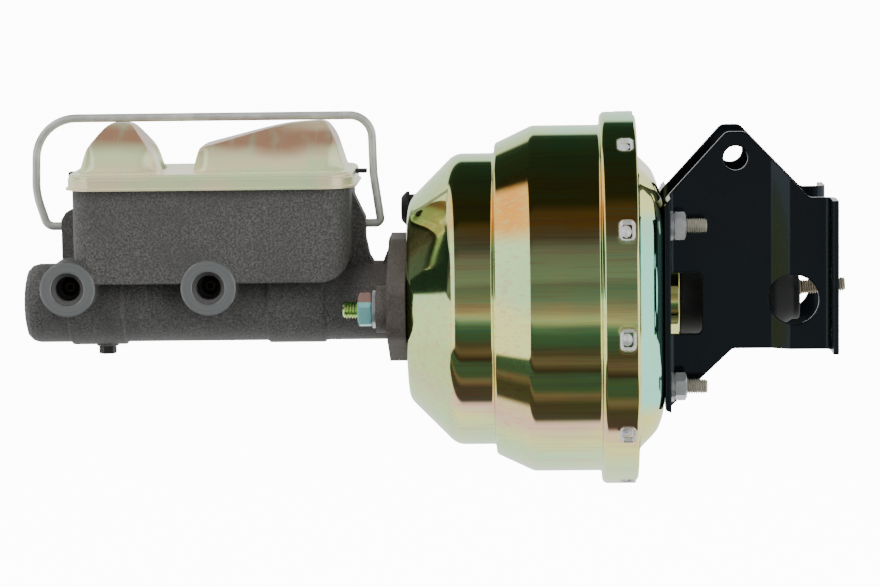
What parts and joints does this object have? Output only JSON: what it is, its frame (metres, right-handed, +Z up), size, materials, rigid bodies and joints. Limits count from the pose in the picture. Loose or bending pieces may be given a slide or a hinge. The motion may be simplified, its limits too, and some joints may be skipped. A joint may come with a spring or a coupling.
{
  "type": "vacuum brake booster with master cylinder",
  "caption": "Dual-diaphragm vacuum brake booster with tandem master cylinder, lidded reservoir, wire bail and two-plate firewall bracket.",
  "frame": {"origin": "on the firewall face of the bracket, on the axis of the booster", "axes": "+X rearward out of the firewall face towards the pedal, +Z up, -Y the side of the outlet ports"},
  "size_m": [0.4445, 0.202, 0.2039],
  "materials": {
    "zinc_yellow": "bright yellow zinc plate",
    "zinc_clear": "bright zinc plate",
    "bracket_black": "gloss black powder coat",
    "cast_iron": "as cast, sand grain",
    "rubber": "matte",
    "nylon": "glass filled, matte",
    "spring_steel": "drawn wire",
    "aluminium": "machined",
    "brass": "machined",
    "filter_felt": "felt"
  },
  "bodies": {
    "housing": {"bracket_near": "bracket_black", "bracket_far": "bracket_black", "front_shell": "zinc_yellow", "rear_shell": "zinc_yellow", "center_plate": "zinc_yellow", "center_seal": "rubber", "hub_seal": "rubber", "front_seal": "rubber", "front_reinforcement": "zinc_clear", "rear_reinforcement": "zinc_clear", "vacuum_grommet": "rubber", "rear_studs": "zinc_clear", "rear_washers": "zinc_clear", "rear_nuts": "zinc_clear", "front_studs": "zinc_yellow", "front_washers": "zinc_clear", "front_nuts": "zinc_yellow", "front_diaphragm": "rubber", "rear_diaphragm": "rubber", "return_spring": "spring_steel", "rod_boot": "rubber", "cylinder_body": "cast_iron", "flare_seats": "brass", "stop_screw": "zinc_clear", "snap_ring": "spring_steel", "secondary_spring": "spring_steel", "reservoir_gasket": "rubber", "reservoir_lid": "zinc_yellow"},
    "power_piston": {"front_diaphragm_plate": "zinc_clear", "rear_diaphragm_plate": "zinc_clear", "valve_body": "nylon", "plate_retainer": "spring_steel", "reaction_disc": "rubber", "output_rod": "zinc_clear", "poppet_valve": "rubber", "poppet_spring": "spring_steel", "poppet_retainer": "zinc_clear", "air_filter": "filter_felt", "rod_spring": "spring_steel"},
    "plunger": {"valve_plunger": "zinc_clear"},
    "rod": {"push_rod": "zinc_yellow"},
    "primary": {"primary_piston": "aluminium", "primary_cups": "rubber"},
    "secondary": {"secondary_piston": "aluminium", "secondary_cups": "rubber", "primary_spring": "spring_steel"},
    "bail": {"bail_wire": "zinc_clear"}
  },
  "joints": [
    {"name": "brake_stroke", "type": "slide", "parent": "housing", "child": "power_piston", "axis": [-1, 0, 0], "range_m": [0, 0.028], "stiffness_N_per_m": 2500, "deforming": ["return_spring", "front_diaphragm", "rear_diaphragm", "rod_boot"]},
    {"name": "valve_travel", "type": "slide", "parent": "power_piston", "child": "plunger", "axis": [-1, 0, 0], "range_m": [0, 0.0015], "stiffness_N_per_m": 1500, "deforming": ["rod_spring"]},
    {"name": "rod_swivel", "type": "hinge", "parent": "plunger", "child": "rod", "pos_m": [-0.086, 0, 0], "axis": [0, -1, 0], "range_deg": [-7, 2.5]},
    {"name": "primary_slide", "type": "slide", "parent": "housing", "child": "primary", "axis": [-1, 0, 0], "range_m": [0, 0.028]},
    {"name": "secondary_slide", "type": "slide", "parent": "housing", "child": "secondary", "axis": [-1, 0, 0], "range_m": [0, 0.012], "deforming": ["primary_spring", "secondary_spring"]},
    {"name": "bail_swing", "type": "hinge", "parent": "housing", "child": "bail", "pos_m": [-0.3327, 0, 0.042], "axis": [1, 0, 0], "range_deg": [-100, 100]}
  ],
  "couplings": [
    {"joint": "primary_slide", "follows": "brake_stroke", "ratio": 1},
    {"joint": "secondary_slide", "follows": "brake_stroke", "ratio": 0.42857}
  ]
}
